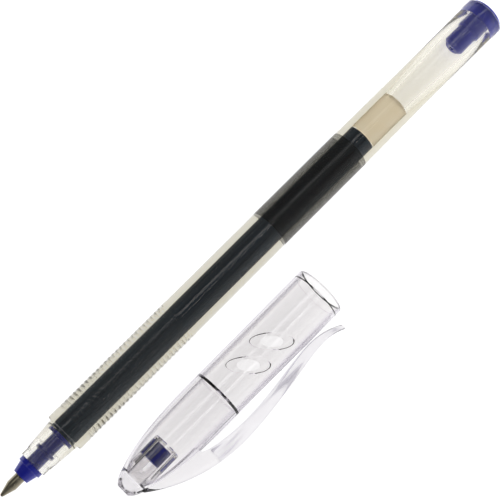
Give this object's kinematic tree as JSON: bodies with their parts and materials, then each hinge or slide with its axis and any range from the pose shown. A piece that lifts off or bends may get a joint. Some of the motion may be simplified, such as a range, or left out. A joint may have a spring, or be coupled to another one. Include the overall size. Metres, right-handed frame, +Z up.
{
  "type": "gel pen",
  "caption": "Capped gel pen with a clear ink-filled barrel, fine ribbed grip and metal point, its clear clip cap lying beside it.",
  "frame": {"origin": "middle of the set's footprint, pen and cap together, on the surface they lie on", "axes": "+X along the pen from its writing point to its tail, +Y from the cap to the pen, +Z up"},
  "size_m": [0.14, 0.0304, 0.0113],
  "materials": {
    "barrel_plastic": "clear, faintly milky, glossy",
    "label_film": "smoky film with fine hoops",
    "black_ink": "wet",
    "follower_grease": "soft, waxy",
    "point_metal": "turned, bright",
    "ball_carbide": "polished",
    "blue_plastic": "glossy",
    "cap_plastic": "water clear with a faint lilac cast",
    "seal_rubber": "smooth, dark blue"
  },
  "bodies": {
    "pen": {"barrel": "barrel_plastic", "barrel_label": "label_film", "ink_column": "black_ink", "writing_tip": "point_metal", "tip_holder": "blue_plastic", "tail_plug": "blue_plastic"},
    "ball": {"tip_ball": "ball_carbide"},
    "follower": {"ink_follower": "follower_grease"},
    "cap": {"cap_shell": "cap_plastic", "cap_seal": "seal_rubber"},
    "clip": {"cap_clip": "cap_plastic"}
  },
  "joints": [
    {"name": "cap_slide", "type": "slide", "parent": "pen", "child": "cap", "axis": [-1, 0, 0], "range_m": [0, 0.075]},
    {"name": "clip_flex", "type": "hinge", "parent": "cap", "child": "clip", "pos_m": [-0.0354, -0.01468, 0.00564], "axis": [0, 0, -1], "range_deg": [0, 5], "stiffness_Nm_per_rad": 1.5},
    {"name": "ball_roll", "type": "hinge", "parent": "pen", "child": "ball", "pos_m": [-0.06975, 0.0108, 0.00443], "axis": [0, 1, 0], "continuous": true},
    {"name": "follower_slide", "type": "slide", "parent": "pen", "child": "follower", "axis": [-1, 0, 0], "range_m": [0, 0.0839], "deforming": ["ink_column"]}
  ]
}
